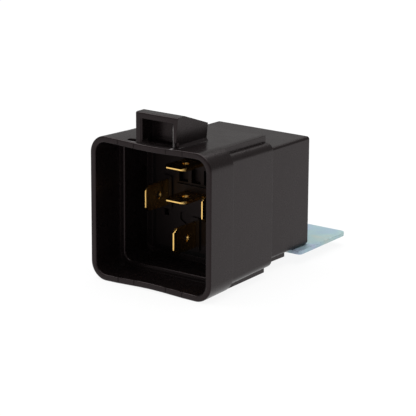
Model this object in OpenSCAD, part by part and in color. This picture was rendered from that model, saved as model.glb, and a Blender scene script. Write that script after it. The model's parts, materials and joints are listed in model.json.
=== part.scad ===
// Skirted plug-in relay with a change-over contact, five blade terminals and a steel
// mounting bracket. Millimetres, +Z up. The mouth of the skirt faces -Y.
// The origin is at the middle of the footprint, on the surface that the skirt stands on.
// Every part is drawn from the middle of the mouth and then moved by in_frame().

/* [Skirt] */
// Width of the skirt at its mouth
skirt_w = 35.5; // [34:0.1:38]
// Height of the skirt at its mouth
skirt_h = 35.4; // [34:0.1:38]
// Length of the wide collar behind the mouth
collar_l = 9.2; // [8:0.1:10]
// Distance from the mouth to the back of the skirt
skirt_l = 26.5; // [25:0.1:29]
// Wall of the collar
collar_wall = 1.5; // [1.2:0.1:1.8]
// Outer corner radius of the collar
collar_r = 4.4; // [4:0.1:6]
// Inward slope of the outer skirt walls
skirt_draft = 0.0275; // [0.01:0.0025:0.03]
// Step from the collar in to the side walls of the rear skirt
side_step = 0.65; // [0.3:0.05:1]
// Step from the collar down to the corners of the rear skirt
corner_step = 1.6; // [1:0.05:1.8]
// Corner radius of the rear skirt
rear_r = 2; // [1.5:0.1:2.5]
// Distance of the full-height pads from the sides of the mouth
pad_side = 3.15; // [2.75:0.05:5.75]
// Radius of the rear skirt's lower back corner in side view
lower_r = 1.2; // [0.6:0.1:1.4]
// Corner radius of the pads
pad_r = 0.3; // [0.2:0.1:0.6]
// Distance of the rear skirt's inside from the sides of the mouth
rear_wall = 2.95; // [2.75:0.05:3.25]
// Distance of the rear skirt's inside from the top and bottom of the mouth
rear_cap = 2.9; // [2.7:0.05:3.2]

/* [Can] */
// Distance of the can's sides from the sides of the mouth
can_side = 3.65; // [2.75:0.05:3.75]
// Height of the can
can_h = 27.7; // [27.6:0.1:29]
// Distance from the mouth to the back of the can
can_l = 46; // [45.6:0.1:52]
// Wall of the can
can_wall = 1; // [0.8:0.05:1.2]
// Edge radius of the can
can_r = 0.8; // [0.5:0.1:1.5]
// Inward slope of the can's outer walls
can_draft = 0.008; // [0:0.001:0.01]
// How far the middle of the can lies below the middle of the skirt
can_drop = 0.55; // [0.3:0.05:0.8]
// Height of the rib under the can
rib_h = 1.15; // [0.8:0.05:1.4]
// Length of the rib under the can
rib_l = 9.1; // [7:0.1:10]

/* [Latch cage] */
// Width of the cage
cage_w = 12.2; // [11:0.1:14]
// Height of the cage over the skirt
cage_h = 7.1; // [6.5:0.1:8]
// Distance of the cage's middle from the middle of the skirt
cage_shift = 1.5; // [0:0.1:2]
// Distance of the cage's front from the mouth
cage_front = 0.8; // [0.6:0.1:1.2]
// Length of the cage
cage_l = 11.7; // [11:0.1:14]
// Length of the flat part of the roof
roof_flat = 2.9; // [2:0.1:4]
// Drop of the sloping roof
roof_drop = 3.1; // [2:0.1:3.5]
// Wall of the cage
cage_wall = 1.75; // [1.4:0.05:2]
// Thickness of the roof
roof_t = 1.45; // [1.2:0.05:1.8]
// Depth of the latch pocket
pocket_l = 4.2; // [4.1:0.1:4.8]
// Width of the slot in the top wall
slot_w = 2.1; // [1.8:0.1:2.6]
// How far the slot in the top wall reaches past the cage
slot_reach = 3.2; // [2:0.1:4]
// Height that the slot is cut into the feet of the cage
slot_rise = 1.2; // [0.8:0.1:1.5]
// Radius of the edges beside the latch pocket's front
lead_r = 0.6; // [0.3:0.1:0.8]

/* [Terminals] */
// Width of each blade
blade_w = 6.3; // [6.1:0.1:6.5]
// Thickness of each blade
blade_t = 0.8; // [0.7:0.05:0.9]
// Length of each blade in front of the base
blade_out = 8.9; // [8.6:0.1:9.4]
// Depth of the chamfers at the blade tips
tip_l = 1.2; // [0.8:0.1:1.6]
// Height of the chamfers at the blade tips
tip_h = 1; // [0.6:0.1:1.3]
// Distance of the detent hole from the tip
hole_at = 4.7; // [4.2:0.1:5]
// Diameter of the detent hole
hole_d = 1.7; // [1.5:0.1:2]
// Height of the normally open terminal over the middle of the mouth
open_z = 10.1; // [9.8:0.1:10.3]
// Distance from the normally open to the normally closed terminal
open_to_closed = 8; // [7.8:0.1:8.2]
// Distance from the normally open to the common terminal
open_to_common = 17.9; // [17.6:0.1:18.3]
// Distance between the two coil terminals
coil_pitch = 16.8; // [16.6:0.1:17.2]
// Height of the coil terminals over the middle of the mouth
coil_z = 1.4; // [1.2:0.1:1.6]
// Length of the coil terminals' posts behind the base
coil_post_l = 6; // [5:0.5:6.5]

/* [Base] */
// Distance from the mouth to the front of the base
base_at = 18; // [17.8:0.1:18.2]
// Thickness of the base
base_t = 4.4; // [4.2:0.1:4.6]
// Gap between the base and the can
base_gap = 0.1; // [0.05:0.05:0.2]
// Width of the sealing bead round the base
seal_w = 1; // [0.8:0.1:1.2]
// Depth of the sealing bead
seal_l = 1.4; // [1:0.1:1.6]
// Height of the collars moulded round the blades
boss_h = 0.5; // [0.3:0.1:0.7]
// Depth of the pockets between the contact terminals
relief_l = 1.3; // [0.8:0.1:1.4]
// Width of the pockets between the contact terminals
relief_w = 2.7; // [2.4:0.1:3]
// Margin of the normally closed terminal's collar beside the blade
closed_boss_side = 2.7; // [2:0.1:3]
// Margin of the normally closed terminal's collar over and under the blade
closed_boss_rise = 1.6; // [1.2:0.1:1.8]
// Width over corners of the moulded hexagon
hex_d = 3.6; // [3:0.1:4]
// Depth of the moulded hexagon
hex_l = 0.4; // [0.2:0.1:0.6]

/* [Bracket] */
// Width of the plate at the can
plate_w = 32; // [30:0.1:34]
// Width of the plate at its free end
plate_end_w = 30.2; // [28:0.1:32]
// Length of the plate behind the can
plate_out = 15.2; // [13:0.1:20]
// Length of the plate under the can
plate_under = 6.7; // [6:0.1:7.5]
// Thickness of the plate
plate_t = 1; // [0.8:0.1:1.5]
// Radius of the plate's corners under the can
plate_front_r = 1; // [0.6:0.1:2]
// Radius of the plate's free corners
plate_end_r = 1.5; // [1:0.1:4]
// Diameter of the fixing hole
fix_d = 5.3; // [5:0.1:6.5]
// Distance between the two stakes that hold the plate
stake_pitch = 18; // [14:0.5:20]
// Diameter of each stake
stake_d = 3; // [2.5:0.1:3.2]
// Diameter of each stake's countersunk head
stake_head_d = 4.6; // [4.2:0.1:5]
// Height of each stake's countersunk head
stake_head_h = 0.7; // [0.5:0.1:0.8]

/* [Magnet] */
// Thickness of the yoke
yoke_t = 1.5; // [1.3:0.1:1.6]
// Width of the yoke
yoke_w = 13; // [12:0.1:13.4]
// Height of the yoke over the base
yoke_l = 16.4; // [16:0.1:16.8]
// Distance of the coil's middle below the middle of the mouth
coil_drop = 1.2; // [1:0.1:1.4]
// Distance from the coil's middle to the inside of the yoke
coil_to_yoke = 7.4; // [7.2:0.1:7.6]
// Diameter of the core
core_d = 5; // [4.5:0.1:5.4]
// Diameter of the pole on the core
pole_d = 9; // [8.4:0.1:9.4]
// Thickness of the pole
pole_t = 0.95; // [0.8:0.05:1.1]
// Diameter of the bobbin's tube
tube_d = 6.6; // [6.4:0.1:6.8]
// Side of the bobbin's square flanges
flange_w = 13.4; // [13:0.1:13.8]
// Thickness of the bobbin's flanges
flange_t = 1; // [0.8:0.1:1.2]
// Diameter of the winding
winding_d = 12.4; // [11.6:0.1:12.8]
// Diameter of the coil wire's tinned ends
wire_d = 0.4; // [0.3:0.05:0.5]
// Diameter of the resistor
resistor_d = 2.3; // [2:0.1:2.5]
// Length of the resistor
resistor_l = 6.4; // [6:0.1:7]

/* [Contacts] */
// Thickness of the armature
armature_t = 1.3; // [1.1:0.1:1.5]
// Angle of the armature when the relay is at rest
open_angle = 2.6; // [2:0.1:3]
// Thickness of the contact spring
spring_t = 0.25; // [0.2:0.05:0.3]
// Height of the contacts over the middle of the mouth
contact_z = 8.7; // [8.4:0.1:8.8]
// Diameter of the contacts
contact_d = 3.2; // [2.8:0.1:3.4]
// Height of the lower face of the moving contact and of the open contact
contact_h = 0.9; // [0.8:0.05:1]
// Height of the upper face of the moving contact and of the closed contact
upper_h = 0.7; // [0.6:0.05:0.8]
// Gap left between faces that touch in use
face_gap = 0.05; // [0.04:0.01:0.08]
// Length of the contact spring on the yoke
spring_foot_l = 10; // [9:0.5:10.5]

/* [Hidden] */
$fn = 48;

// Colours
black_plastic = [0.16, 0.15, 0.15];
dark_plastic = [0.12, 0.11, 0.11];
zinc = [0.68, 0.76, 0.80];
brass = [0.86, 0.66, 0.32];
copper = [0.76, 0.40, 0.22];
steel = [0.62, 0.62, 0.60];
silver = [0.86, 0.86, 0.84];
natural_plastic = [0.84, 0.80, 0.68];
epoxy = [0.10, 0.09, 0.09];
tin = [0.78, 0.78, 0.76];
ceramic = [0.45, 0.62, 0.70];

// General
eps = 0.01;
overall_l = can_l + plate_out;
fit_gap = 0.05;

// Skirt
collar_end_w = skirt_w - 2 * skirt_draft * collar_l;
collar_end_h = skirt_h - 2 * skirt_draft * collar_l;
rear_w = collar_end_w - 2 * side_step;
rear_h = collar_end_h - 2 * corner_step;
rear_l = skirt_l - collar_l;
rear_end_w = rear_w - 2 * skirt_draft * rear_l;
rear_end_h = rear_h - 2 * skirt_draft * rear_l;
pad_end_h = skirt_h - 2 * skirt_draft * skirt_l;
mouth_w = skirt_w - 2 * collar_wall;
mouth_h = skirt_h - 2 * collar_wall;
rear_inside_w = skirt_w - 2 * rear_wall;
rear_inside_h = skirt_h - 2 * rear_cap;
rear_inside_r = 2.2;
pad_w = skirt_w - 2 * pad_side;

// Can
can_w = skirt_w - 2 * can_side;
can_top = can_h / 2 - can_drop;
can_bottom = -can_h / 2 - can_drop;
can_inside_w = can_w - 2 * can_wall;
can_inside_h = can_h - 2 * can_wall;
can_end_w = can_w - 2 * can_draft * (can_l - skirt_l);
can_end_h = can_h - 2 * can_draft * (can_l - skirt_l);
can_lap = 2;
core_out_l = 6;
core_out_w = 6.6;
core_out_h = 1.4;
stop_w = 1.6;

// Latch cage
cage_left = cage_shift - cage_w / 2;
cage_right = cage_shift + cage_w / 2;
cage_top = skirt_h / 2 + cage_h;
cage_back = cage_front + cage_l;
roof_end = cage_front + roof_flat;
pocket_back = cage_front + pocket_l;
slot_front = cage_front + 0.3;
rim_top = skirt_h / 2 - 0.2;

// Base
base_w = can_inside_w - 2 * base_gap;
base_h = can_inside_h - 2 * base_gap;
base_back = base_at + base_t;
seal_inside_w = can_inside_w - 2 * seal_w;
seal_inside_h = can_inside_h - 2 * seal_w;

// Terminals
closed_z = open_z - open_to_closed;
common_z = open_z - open_to_common;
tip_at = base_at - blade_out;
coil_x = coil_pitch / 2;
link_at = base_at + relief_l + 0.7;
post_x = can_inside_w / 2 - 2.6;
post_low = coil_z + blade_w / 2 + 1.4;
post_w = 2.6;
coil_post_w = 1.2;
coil_post_end = base_back + coil_post_l;
lead_y = base_back + 0.7 * coil_post_l;
resistor_y = base_back + 3;
resistor_z = open_z - blade_t / 2 - 0.9 - resistor_d / 2;

// Magnet
coil_mid = -coil_drop;
yoke_in = coil_mid - coil_to_yoke;
yoke_out = yoke_in - yoke_t;
foot_top = base_back + yoke_t;
yoke_top = base_back + yoke_l;
pole_face = yoke_top - face_gap;
tube_end = pole_face - pole_t;
foot_end = 4.9;
neck_d = core_d - 1;

// Armature and contacts: drawn closed and turned about the yoke's top outer edge
armature_under = yoke_top + 0.03;
armature_over = armature_under + armature_t;
armature_tip = coil_mid + pole_d / 2 + 1.2;
armature_w = 11;
armature_tip_w = 9;
arm_rivet_z = coil_mid - 1.6;
arm_rivet_pitch = 5;
arm_rivet_d = 1.6;
arm_rivet_head = 2.6;
arm_rivet_h = 0.5;
spring_over = armature_over + spring_t;
spring_w = 8;
spring_tip_w = 4.2;
spring_end = contact_z + contact_d / 2 + 0.4;
shank_d = 1.6;
lower_face = armature_over - contact_h;
upper_face = spring_over + upper_h;
arm = contact_z - yoke_out;
lift = arm * sin(open_angle);
open_face = lower_face - face_gap;
closed_face = yoke_top + (upper_face - yoke_top) * cos(open_angle) + lift + face_gap;
lug_over = open_face - contact_h;
lug_under = lug_over - blade_t;
arm_under = closed_face + upper_h;
arm_over = arm_under + blade_t;
lug_w = 4;

// Return part of the contact spring
loop_r = armature_over - yoke_top + 0.65;
loop_mid = armature_over + spring_t / 2 - loop_r;
spring_foot = yoke_top - spring_foot_l;
loop_low = yoke_top - 2.6;
spring_rivet_pitch = 4.4;
spring_rivet_d = 1.6;
spring_rivet_head = 2.6;
spring_rivet_y = spring_foot + spring_rivet_head + 1;
spring_rivet_h = 0.55;
loop_steps = 14;

// Bracket
plate_front = can_l - plate_under;
plate_top = can_bottom + can_draft * (plate_front - skirt_l);
plate_corners = [[-plate_w / 2, plate_front], [plate_w / 2, plate_front],
    [plate_end_w / 2, overall_l], [-plate_end_w / 2, overall_l]];
fix_y = can_l + plate_out / 2;
stake_sunk = 0.05;
stake_y = plate_front + plate_under / 2;

module in_frame() {
    translate([0, -overall_l / 2, skirt_h / 2])
        children();
}

function unit(v) = v / norm(v);

// A rectangle with round corners, centred
module round_rect(w, h, r) {
    square([w, h - 2 * r], center = true);
    square([w - 2 * r, h], center = true);
    for (x = [-1, 1], y = [-1, 1])
        translate([x * (w / 2 - r), y * (h / 2 - r)])
            circle(r = r);
}

// A block along Y that tapers from one rounded rectangle to another
module tapered_block(y0, y1, w0, h0, w1, h1, r) {
    translate([0, y0, 0])
        rotate([-90, 0, 0])
            linear_extrude(height = y1 - y0, scale = [w1 / w0, h1 / h0], slices = 1, segments = 4)
                round_rect(w0, h0, r);
}

// A straight block along Y with rounded corners
module straight_block(y0, y1, w, h, r) {
    translate([0, y0, 0])
        rotate([-90, 0, 0])
            linear_extrude(height = y1 - y0)
                round_rect(w, h, r);
}

// A box given by its lowest and highest corners
module box(low, high) {
    translate(low)
        cube(high - low);
}

// A profile in Y and Z, drawn as [y, z], extruded along X from x0 to x1
module along_x(x0, x1) {
    translate([x0, 0, 0])
        rotate([90, 0, 90])
            linear_extrude(height = x1 - x0)
                children();
}

// A cylinder along Y from y0 to y1 at x and z
module rod_y(x, z, y0, y1, d) {
    translate([x, y0, z])
        rotate([-90, 0, 0])
            cylinder(h = y1 - y0, d = d);
}

// A low dome along Z, standing on z = 0
module dome(d, h, bulge) {
    sphere_r = (d * d / 4 + bulge * bulge) / (2 * bulge);
    intersection() {
        cylinder(h = h, d = d);
        translate([0, 0, h - sphere_r])
            sphere(r = sphere_r);
    }
}

// Everything that turns with the armature, in its released position
module released() {
    translate([0, yoke_top, yoke_out])
        rotate([-open_angle, 0, 0])
            translate([0, -yoke_top, -yoke_out])
                children();
}

module skirt_outside() {
    tapered_block(0, collar_l, skirt_w, skirt_h, collar_end_w, collar_end_h, collar_r);
    difference() {
        tapered_block(collar_l - eps, skirt_l, rear_w, rear_h, rear_end_w, rear_end_h, rear_r);
        along_x(-skirt_w, skirt_w)
            lower_corner_cut();
    }
    pads();
}

// What is cut from the lower back corner of the rear skirt, as [y, z], to leave it round
module lower_corner_cut() {
    translate([skirt_l - lower_r, -rear_end_h / 2 + lower_r])
        difference() {
            translate([0, -2 * lower_r])
                square([2 * lower_r, 2 * lower_r]);
            circle(r = lower_r);
        }
}

// The full-height middle of the rear skirt, which grows out of the round collar
module pads() {
    pad_end_w = pad_w - 2 * skirt_draft * rear_l;
    tapered_block(collar_l - eps, skirt_l, pad_w, collar_end_h, pad_end_w, pad_end_h, pad_r);
}

module can_outside() {
    translate([0, 0, -can_drop])
        intersection() {
            tapered_block(skirt_l - can_lap, can_l, can_w, can_h, can_end_w, can_end_h, can_r);
            along_x(-can_w, can_w)
                translate([can_l - can_l / 2, 0])
                    round_rect(can_l, can_h + 1, can_r + 0.4);
        }
}

module skirt_inside() {
    straight_block(-1, collar_l, mouth_w, mouth_h, collar_r - collar_wall);
    straight_block(collar_l - eps, base_at, rear_inside_w, rear_inside_h, rear_inside_r);
}

module can_inside() {
    translate([0, 0, -can_drop])
        straight_block(base_at - eps, can_l - can_wall, can_inside_w, can_inside_h, 0.3);
}

// Side view of the cage, as [y, z]
module cage_profile() {
    polygon([[cage_front, rim_top - 1], [cage_front, cage_top], [roof_end, cage_top],
        [cage_back, cage_top - roof_drop], [cage_back, rim_top - 1]]);
}

module latch_pocket() {
    translate([0, 0, rim_top])
        linear_extrude(height = cage_top - roof_t - rim_top)
            pocket_plan();
    translate([cage_left - slot_reach + slot_w / 2, slot_front + slot_w / 2, mouth_h / 2 - 1])
        linear_extrude(height = collar_wall + 1 + slot_rise) {
            translate([0, -slot_w / 2])
                square([cage_w + slot_reach - cage_wall - slot_w / 2, slot_w]);
            circle(d = slot_w);
        }
    box([cage_right - cage_wall + lead_r, 0, rim_top + 0.1],
        [cage_right + eps, slot_front + slot_w / 3, skirt_h / 2 + slot_rise]);
}

// The latch pocket from above, with round edges beside its front
module pocket_plan() {
    left = cage_left + cage_wall;
    right = cage_right - cage_wall;
    translate([left, 0])
        square([right - left, pocket_back]);
    difference() {
        translate([left - lead_r, 0])
            square([right - left + 2 * lead_r, cage_front + lead_r]);
        for (x = [left - lead_r, right + lead_r])
            translate([x, cage_front + lead_r])
                circle(r = lead_r);
    }
}

// The cage is cored from inside the skirt behind the latch pocket
module cage_core() {
    box([cage_left + cage_wall, pocket_back + roof_t, mouth_h / 2 - 1],
        [cage_right - cage_wall, collar_l, cage_top - roof_drop - roof_t]);
}

// Slots moulded into the back of the thick pads
module pad_coring() {
    pitch = core_out_w + 1.6;
    for (x = [-1, 0, 1], side = [-1, 1]) {
        low = side > 0 ? can_top + 1.1 : -pad_end_h / 2 + 1;
        high = side > 0 ? pad_end_h / 2 - 1 : can_bottom - 0.9;
        box([x * pitch - core_out_w / 2, skirt_l - core_out_l, low],
            [x * pitch + core_out_w / 2, skirt_l + 1, high]);
    }
}

// Ribs in the can's corners that the back of the base stops against
module base_stops() {
    for (x = [-1, 1], z = [-1, 1])
        translate([x * (can_inside_w - stop_w) / 2, 0, z * (can_inside_h - stop_w) / 2 - can_drop])
            box([-stop_w / 2 - eps, base_back, -stop_w / 2 - eps],
                [stop_w / 2 + eps, can_l - can_wall + eps, stop_w / 2 + eps]);
}

// The heads are staked flush, so that the plate still lies flat on a panel
module stakes() {
    for (x = [-1, 1])
        translate([x * stake_pitch / 2, stake_y, plate_top - plate_t + stake_sunk]) {
            cylinder(h = plate_t + 0.3, d = stake_d);
            cylinder(h = stake_head_h, d1 = stake_head_d, d2 = stake_d);
        }
}

module housing() {
    color(black_plastic)
        in_frame() {
            difference() {
                union() {
                    skirt_outside();
                    can_outside();
                    along_x(cage_left, cage_right)
                        cage_profile();
                    box([-(can_w / 2 - 1), skirt_l - 1, can_bottom - rib_h],
                        [can_w / 2 - 1, skirt_l + rib_l, can_bottom + 0.5]);
                }
                skirt_inside();
                can_inside();
                latch_pocket();
                cage_core();
                pad_coring();
            }
            base_stops();
            stakes();
        }
}

module bracket() {
    color(zinc)
        in_frame()
            translate([0, 0, plate_top - plate_t])
                difference() {
                    linear_extrude(height = plate_t)
                        difference() {
                            polygon(plate_corners);
                            for (i = [0:3])
                                plate_corner_cut(i);
                        }
                    translate([0, fix_y, -1])
                        cylinder(h = plate_t + 2, d = fix_d);
                    for (x = [-1, 1])
                        translate([x * stake_pitch / 2, stake_y, 0])
                            stake_hole();
                }
}

// A countersunk hole round one stake
module stake_hole() {
    wide = stake_head_d + 4 * fit_gap;
    narrow = stake_d + 2 * fit_gap;
    translate([0, 0, -1])
        cylinder(h = plate_t + 2, d = narrow);
    cylinder(h = stake_sunk + stake_head_h + fit_gap, d1 = wide, d2 = narrow);
    translate([0, 0, -1])
        cylinder(h = 1 + eps, d = wide);
}

// What is cut from one corner of the plate to leave it round
module plate_corner_cut(i) {
    corner = plate_corners[i];
    r = i < 2 ? plate_front_r : plate_end_r;
    to_next = unit(plate_corners[(i + 1) % 4] - corner);
    to_last = unit(plate_corners[(i + 3) % 4] - corner);
    half = acos(to_next * to_last) / 2;
    mid = corner + unit(to_next + to_last) * r / sin(half);
    difference() {
        polygon([corner, corner + to_next * r / tan(half), mid, corner + to_last * r / tan(half)]);
        translate(mid)
            circle(r = r);
    }
}

module base() {
    color(dark_plastic)
        in_frame()
            difference() {
                union() {
                    translate([0, 0, -can_drop])
                        difference() {
                            straight_block(base_at, base_back, base_w, base_h, 0.3);
                            difference() {
                                straight_block(base_at - 1, base_at + seal_l, base_w + 1, base_h + 1, 0.3);
                                straight_block(base_at - 2, base_back, seal_inside_w, seal_inside_h, 0.8);
                            }
                        }
                    blade_boss(0, open_z, blade_w + 2.4, blade_t + 1.4);
                    blade_boss(0, closed_z, blade_w + 2 * closed_boss_side, blade_t + 2 * closed_boss_rise);
                    blade_boss(0, common_z, blade_t + 2, blade_w + 2);
                    for (x = [-1, 1])
                        blade_boss(x * coil_x, coil_z, blade_t + 2, blade_w + 2);
                }
                blade_slots();
                link_channel();
                reliefs();
            }
}

// A collar moulded round one blade on the front of the base
module blade_boss(x, z, w, h) {
    translate([x, 0, z])
        straight_block(base_at - boss_h, base_at + 1, w, h, 0.6);
}

module blade_slots() {
    flat_w = blade_w + 2 * fit_gap;
    flat_t = blade_t + 2 * fit_gap;
    for (z = [open_z, closed_z])
        box([-flat_w / 2, base_at - 2, z - flat_t / 2], [flat_w / 2, base_back + 1, z + flat_t / 2]);
    for (p = [[0, common_z], [-coil_x, coil_z], [coil_x, coil_z]])
        box([p[0] - flat_t / 2, base_at - 2, p[1] - flat_w / 2],
            [p[0] + flat_t / 2, base_back + 1, p[1] + flat_w / 2]);
}

// Room at the back of the base for the cross link of the normally closed terminal
module link_channel() {
    box([-blade_w / 2 - 0.3, link_at, closed_z - 0.6], [blade_w / 2 + 0.3, base_back + 1, post_low + post_w + 0.2]);
    box([0, link_at, post_low - 0.2], [post_x + blade_t + 0.3, base_back + 1, post_low + post_w + 0.2]);
}

// Pockets, a moulded hexagon and two small slots on the front of the base
module reliefs() {
    low = closed_z + blade_t / 2 + 2.1;
    high = open_z - blade_t / 2 - 1.5;
    for (x = [-1, 0, 1])
        translate([x * (relief_w + 1), 0, 0])
            box([-relief_w / 2, base_at - 2, low], [relief_w / 2, base_at + relief_l, high]);
    translate([-coil_x / 2 + 1.1, base_at + hex_l, (closed_z + common_z) / 2 - 1.2])
        rotate([90, 90, 0])
            cylinder(h = hex_l + boss_h + 1, d = hex_d, $fn = 6);
    for (x = [-1, 1])
        translate([x * 8.8, 0, (closed_z + common_z) / 2 - 0.9])
            box([-0.7, base_at - 2, -0.8], [0.7, base_at + relief_l, 0.8]);
}

module seal() {
    color(epoxy)
        in_frame()
            translate([0, 0, -can_drop])
                difference() {
                    straight_block(base_at + 0.2, base_at + seal_l, can_inside_w, can_inside_h, 0.3);
                    straight_block(base_at - 1, base_back, seal_inside_w, seal_inside_h, 0.8);
                }
}

// Outline of one blade from its tip, as [distance, side], with its tip chamfered
module blade_outline(l) {
    polygon([[0, -blade_w / 2 + tip_h], [tip_l, -blade_w / 2], [l, -blade_w / 2],
        [l, blade_w / 2], [tip_l, blade_w / 2], [0, blade_w / 2 - tip_h]]);
}

// A blade that lies flat, across X
module flat_blade(z, l) {
    translate([0, tip_at, z - blade_t / 2])
        difference() {
            rotate([0, 0, 90])
                linear_extrude(height = blade_t)
                    blade_outline(l);
            translate([0, hole_at, -1])
                cylinder(h = blade_t + 2, d = hole_d);
        }
}

// A blade that stands on edge, across Z
module upright_blade(x, z, l) {
    translate([x, 0, z])
        rotate([0, 90, 0])
            flat_blade(0, l);
}

module terminal_common() {
    color(brass)
        in_frame()
            upright_blade(0, common_z, base_back - tip_at);
}

module terminal_open() {
    color(brass)
        in_frame() {
            flat_blade(open_z, base_back - tip_at);
            box([-lug_w / 2, base_back - 1, open_z - blade_t / 2], [lug_w / 2, lug_over, open_z + blade_t / 2]);
            difference() {
                box([-lug_w / 2, lug_under, contact_z - contact_d / 2 - 0.3],
                    [lug_w / 2, lug_over, open_z + blade_t / 2]);
                rod_y(0, contact_z, lug_under - 1, lug_over + 1, shank_d + 2 * fit_gap);
            }
        }
}

module terminal_closed() {
    arm_low = contact_z - contact_d / 2;
    arm_high = contact_z + contact_d / 2;
    color(brass)
        in_frame() {
            flat_blade(closed_z, link_at + blade_t - tip_at);
            box([-blade_w / 2, link_at, closed_z - blade_t / 2], [blade_w / 2, link_at + blade_t, post_low + post_w]);
            box([0, link_at, post_low], [post_x + blade_t, link_at + blade_t, post_low + post_w]);
            box([post_x, link_at, post_low], [post_x + blade_t, arm_over, post_low + post_w]);
            difference() {
                union() {
                    box([post_x - 2, arm_under, post_low], [post_x + blade_t, arm_over, arm_high]);
                    box([0, arm_under, arm_low], [post_x + blade_t, arm_over, arm_high]);
                    rod_y(0, contact_z, arm_under, arm_over, contact_d);
                }
                rod_y(0, contact_z, arm_under - 1, arm_over + 1, shank_d + 2 * fit_gap);
            }
        }
}

module coil_terminal(side) {
    in_frame() {
        upright_blade(side * coil_x, coil_z, base_back - tip_at);
        box([side * coil_x - blade_t / 2, base_back - 1, coil_z - coil_post_w / 2],
            [side * coil_x + blade_t / 2, coil_post_end, coil_z + coil_post_w / 2]);
    }
}

module terminal_coil_left() {
    color(brass)
        coil_terminal(-1);
}

module terminal_coil_right() {
    color(brass)
        coil_terminal(1);
}

module yoke() {
    color(steel)
        in_frame()
            difference() {
                union() {
                    box([-yoke_w / 2, base_back, yoke_out], [yoke_w / 2, foot_top, foot_end]);
                    box([-yoke_w / 2, base_back, yoke_out], [yoke_w / 2, yoke_top, yoke_in]);
                }
                rod_y(0, coil_mid, base_back - 1, foot_top + 1, neck_d + 2 * fit_gap);
                for (x = [-1, 1])
                    translate([x * spring_rivet_pitch / 2, spring_rivet_y, yoke_out - 1])
                        cylinder(h = yoke_t + 2, d = spring_rivet_d + 2 * fit_gap);
            }
}

module core() {
    color(steel)
        in_frame() {
            rod_y(0, coil_mid, base_back, foot_top + eps, neck_d);
            rod_y(0, coil_mid, foot_top, tube_end + eps, core_d);
            rod_y(0, coil_mid, tube_end, pole_face, pole_d);
        }
}

module bobbin() {
    ear_w = coil_post_w + 1.6;
    color(natural_plastic)
        in_frame()
            difference() {
                union() {
                    translate([0, 0, coil_mid]) {
                        straight_block(foot_top, foot_top + flange_t, flange_w, flange_w, 1);
                        straight_block(tube_end - flange_t, tube_end, flange_w, flange_w, 1);
                    }
                    rod_y(0, coil_mid, foot_top, tube_end, tube_d);
                    box([-coil_x - 1.6, foot_top, coil_z - ear_w / 2],
                        [coil_x + 1.6, foot_top + flange_t, coil_z + ear_w / 2]);
                }
                rod_y(0, coil_mid, foot_top - 1, tube_end + 1, core_d + 2 * fit_gap);
                for (x = [-1, 1])
                    translate([x * coil_x, 0, coil_z])
                        box([-blade_t / 2 - fit_gap, foot_top - 1, -coil_post_w / 2 - fit_gap],
                            [blade_t / 2 + fit_gap, foot_top + flange_t + 1, coil_post_w / 2 + fit_gap]);
            }
}

module winding() {
    color(copper)
        in_frame()
            difference() {
                rod_y(0, coil_mid, foot_top + flange_t, tube_end - flange_t, winding_d);
                rod_y(0, coil_mid, foot_top, tube_end, tube_d + 2 * fit_gap);
            }
}

// The end of the coil wire, wrapped three times round its post
module coil_lead(side) {
    wrap_r = norm([blade_t, coil_post_w]) / 2 + wire_d / 2 + 0.02;
    rise = sqrt(pow(winding_d / 2, 2) - pow(coil_z - coil_mid, 2));
    in_frame() {
        translate([side * coil_x, lead_y, coil_z])
            rotate([-90, 0, 0])
                rotate_extrude()
                    for (turn = [-1, 0, 1])
                        translate([wrap_r, turn * wire_d * 0.9])
                            circle(d = wire_d, $fn = 24);
        translate([side * (rise + 0.1), lead_y, coil_z])
            rotate([0, side * 90, 0])
                cylinder(h = coil_x - rise - 0.1 - wrap_r, d = wire_d, $fn = 24);
    }
}

module coil_lead_left() {
    color(copper)
        coil_lead(-1);
}

module coil_lead_right() {
    color(copper)
        coil_lead(1);
}

module resistor() {
    color(ceramic)
        in_frame()
            translate([0, resistor_y, resistor_z])
                rotate([0, 90, 0]) {
                    cylinder(h = resistor_l, d = resistor_d - 0.3, center = true);
                    for (z = [-1, 1])
                        translate([0, 0, z * (resistor_l / 2 - 0.8)])
                            cylinder(h = 1.6, d = resistor_d, center = true);
                }
}

// Two bent wires from the resistor's caps to the coil terminals
module resistor_leads() {
    lead_d = 0.6;
    color(tin)
        in_frame()
            for (side = [-1, 1])
                translate([0, resistor_y, resistor_z])
                    mirror([side < 0 ? 1 : 0, 0, 0]) {
                        translate([resistor_l / 2, 0, 0])
                            rotate([0, 90, 0])
                                cylinder(h = coil_x - resistor_l / 2, d = lead_d, $fn = 24);
                        translate([coil_x, 0, 0]) {
                            sphere(d = lead_d, $fn = 24);
                            mirror([0, 0, 1])
                                cylinder(h = resistor_z - coil_z - coil_post_w / 2, d = lead_d, $fn = 24);
                        }
                    }
}

module armature() {
    color(steel)
        in_frame()
            released()
                difference() {
                    translate([0, armature_over, 0])
                        rotate([90, 0, 0])
                            linear_extrude(height = armature_t)
                                polygon([[-armature_w / 2, yoke_out], [armature_w / 2, yoke_out],
                                    [armature_w / 2, coil_mid], [armature_tip_w / 2, armature_tip],
                                    [-armature_tip_w / 2, armature_tip], [-armature_w / 2, coil_mid]]);
                    for (x = [-1, 1])
                        rod_y(x * arm_rivet_pitch / 2, arm_rivet_z, yoke_top - 1, armature_over + 1,
                            arm_rivet_d + 2 * fit_gap);
                }
}

// A point that turns with the armature, as [y, z]
function turned(p) = [
    yoke_top + (p[0] - yoke_top) * cos(open_angle) + (p[1] - yoke_out) * sin(open_angle),
    yoke_out - (p[0] - yoke_top) * sin(open_angle) + (p[1] - yoke_out) * cos(open_angle)
];

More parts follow.
